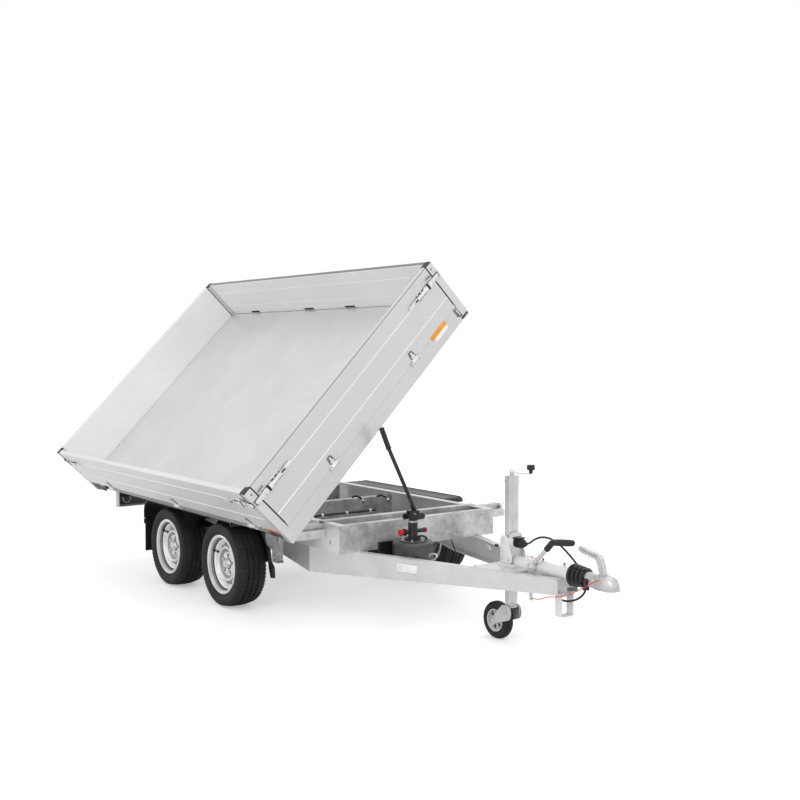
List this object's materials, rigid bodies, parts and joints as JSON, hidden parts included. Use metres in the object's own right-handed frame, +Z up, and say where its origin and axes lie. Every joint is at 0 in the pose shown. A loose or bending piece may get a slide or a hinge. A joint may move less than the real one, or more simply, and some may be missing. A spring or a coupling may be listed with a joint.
{
  "type": "dump trailer",
  "caption": "Tandem-axle three-way tipping trailer with aluminium drop sides, galvanised chassis, overrun drawbar and jockey wheel, its bed tipped to the right.",
  "frame": {"origin": "centre of the coupling ball that the hitch takes", "axes": "+X forward along the drawbar, +Y to the trailer's left, +Z up"},
  "size_m": [4.37, 2.1238, 2.1025],
  "materials": {
    "galvanised": "hot-dip galvanised, mottled",
    "bright_zinc": "smooth zinc",
    "aluminium": "anodised, satin",
    "floor_steel": "galvanised sheet",
    "grey_plastic": "matt",
    "tyre": "moulded rubber",
    "rim_silver": "silver paint",
    "black_plastic": "matt, grained",
    "bellows_rubber": "matt",
    "cast_iron": "bare casting",
    "white_paint": "gloss paint",
    "black_paint": "satin paint",
    "dark_grey_paint": "satin paint",
    "chrome": "hard chrome",
    "cable_rubber": "matt",
    "lamp_plastic": "clear gloss"
  },
  "bodies": {
    "chassis": {"axle_front": "galvanised", "axle_rear": "galvanised", "bellows": "bellows_rubber", "breakaway_cable": "cable_rubber", "coupling_head": "cast_iron", "cross_members": "galvanised", "cylinder_cradle": "galvanised", "drawbar_gusset": "bright_zinc", "drawbar_left": "galvanised", "drawbar_right": "galvanised", "front_bearing_bar": "galvanised", "front_cross_member": "galvanised", "hand_pump": "black_paint", "handbrake_lever": "galvanised", "jack_clamp": "bright_zinc", "jack_crank": "bright_zinc", "jack_mast": "bright_zinc", "mudguard_brackets": "galvanised", "mudguard_front_plates": "galvanised", "mudguard_left": "black_plastic", "mudguard_right": "black_plastic", "oil_tank": "dark_grey_paint", "overrun_housing": "white_paint", "plug": "black_plastic", "plug_cable": "cable_rubber", "pump_lever": "black_paint", "rear_bearing_beam": "galvanised", "rear_lamps": "lamp_plastic", "side_beam_left": "galvanised", "side_beam_right": "galvanised", "tank_bracket": "galvanised"},
    "wheel_front_left": {"tyre_front_left": "tyre", "rim_front_left": "rim_silver"},
    "wheel_front_right": {"tyre_front_right": "tyre", "rim_front_right": "rim_silver"},
    "wheel_rear_left": {"tyre_rear_left": "tyre", "rim_rear_left": "rim_silver"},
    "wheel_rear_right": {"tyre_rear_right": "tyre", "rim_rear_right": "rim_silver"},
    "bed": {"corner_posts": "aluminium", "post_caps": "grey_plastic", "bed_floor": "floor_steel", "bed_sills": "galvanised", "bed_runners": "galvanised", "bed_joists": "galvanised", "bed_bearings": "galvanised", "cylinder_fork": "galvanised"},
    "board_front": {"board_front": "aluminium"},
    "board_rear": {"board_rear": "aluminium"},
    "board_left": {"board_left": "aluminium"},
    "board_right": {"board_right": "aluminium"},
    "cylinder_barrel": {"cylinder_barrel": "black_paint"},
    "cylinder_stage_1": {"cylinder_stage_1": "chrome"},
    "cylinder_stage_2": {"cylinder_stage_2": "chrome"},
    "cylinder_stage_3": {"cylinder_stage_3": "chrome"},
    "jack_leg": {"jack_leg": "bright_zinc"},
    "jockey_fork": {"jockey_fork": "bright_zinc"},
    "jockey_wheel": {"jockey_tyre": "tyre", "jockey_rim": "grey_plastic"}
  },
  "joints": [
    {"name": "spin_front_left", "type": "hinge", "parent": "chassis", "child": "wheel_front_left", "pos_m": [-2.366, 0.798, -0.1765], "axis": [0, 1, 0], "continuous": true},
    {"name": "spin_front_right", "type": "hinge", "parent": "chassis", "child": "wheel_front_right", "pos_m": [-2.366, -0.798, -0.1765], "axis": [0, 1, 0], "continuous": true},
    {"name": "spin_rear_left", "type": "hinge", "parent": "chassis", "child": "wheel_rear_left", "pos_m": [-3.126, 0.798, -0.1765], "axis": [0, 1, 0], "continuous": true},
    {"name": "spin_rear_right", "type": "hinge", "parent": "chassis", "child": "wheel_rear_right", "pos_m": [-3.126, -0.798, -0.1765], "axis": [0, 1, 0], "continuous": true},
    {"name": "bed_tip", "type": "hinge", "parent": "chassis", "child": "bed", "pos_m": [-2.874, -0.775, 0.117], "axis": [1, 0, 0], "range_deg": [-45.7, 0]},
    {"name": "board_right_drop", "type": "hinge", "parent": "bed", "child": "board_right", "pos_m": [-2.874, -0.99179, 0.14971], "axis": [1, 0, 0], "range_deg": [0, 134]},
    {"name": "board_left_drop", "type": "hinge", "parent": "bed", "child": "board_left", "pos_m": [-2.874, 0.26955, 1.44225], "axis": [-1, 0, 0], "range_deg": [0, 178]},
    {"name": "board_front_drop", "type": "hinge", "parent": "bed", "child": "board_front", "pos_m": [-1.444, -0.36112, 0.79598], "axis": [0, 0.6984, 0.7157], "range_deg": [0, 90]},
    {"name": "board_rear_drop", "type": "hinge", "parent": "bed", "child": "board_rear", "pos_m": [-4.304, -0.36112, 0.79598], "axis": [0, -0.6984, -0.7157], "range_deg": [0, 178]},
    {"name": "cylinder_swing", "type": "hinge", "parent": "chassis", "child": "cylinder_barrel", "pos_m": [-2.874, 0, 0.021], "axis": [1, 0, 0], "range_deg": [-23.4, 0]},
    {"name": "cylinder_extend_1", "type": "slide", "parent": "cylinder_barrel", "child": "cylinder_stage_1", "axis": [0, -0.3959, 0.9183], "range_m": [-0.1953, 0]},
    {"name": "cylinder_extend_2", "type": "slide", "parent": "cylinder_stage_1", "child": "cylinder_stage_2", "axis": [0, -0.3959, 0.9183], "range_m": [-0.1953, 0]},
    {"name": "cylinder_extend_3", "type": "slide", "parent": "cylinder_stage_2", "child": "cylinder_stage_3", "axis": [0, -0.3959, 0.9183], "range_m": [-0.1953, 0]},
    {"name": "jack_height", "type": "slide", "parent": "chassis", "child": "jack_leg", "axis": [0, 0, 1], "range_m": [-0.12, 0.14]},
    {"name": "jockey_swivel", "type": "hinge", "parent": "jack_leg", "child": "jockey_fork", "pos_m": [-0.699, 0, -0.23], "axis": [0, 0, 1], "continuous": true},
    {"name": "jockey_spin", "type": "hinge", "parent": "jockey_fork", "child": "jockey_wheel", "pos_m": [-0.804, 0, -0.336], "axis": [0, 1, 0], "continuous": true}
  ],
  "couplings": [
    {"joint": "cylinder_swing", "follows": "bed_tip", "ratio": 0.51042},
    {"joint": "cylinder_extend_1", "follows": "bed_tip", "m_per_rad": 0.2447},
    {"joint": "cylinder_extend_2", "follows": "bed_tip", "m_per_rad": 0.2447},
    {"joint": "cylinder_extend_3", "follows": "bed_tip", "m_per_rad": 0.2447}
  ]
}
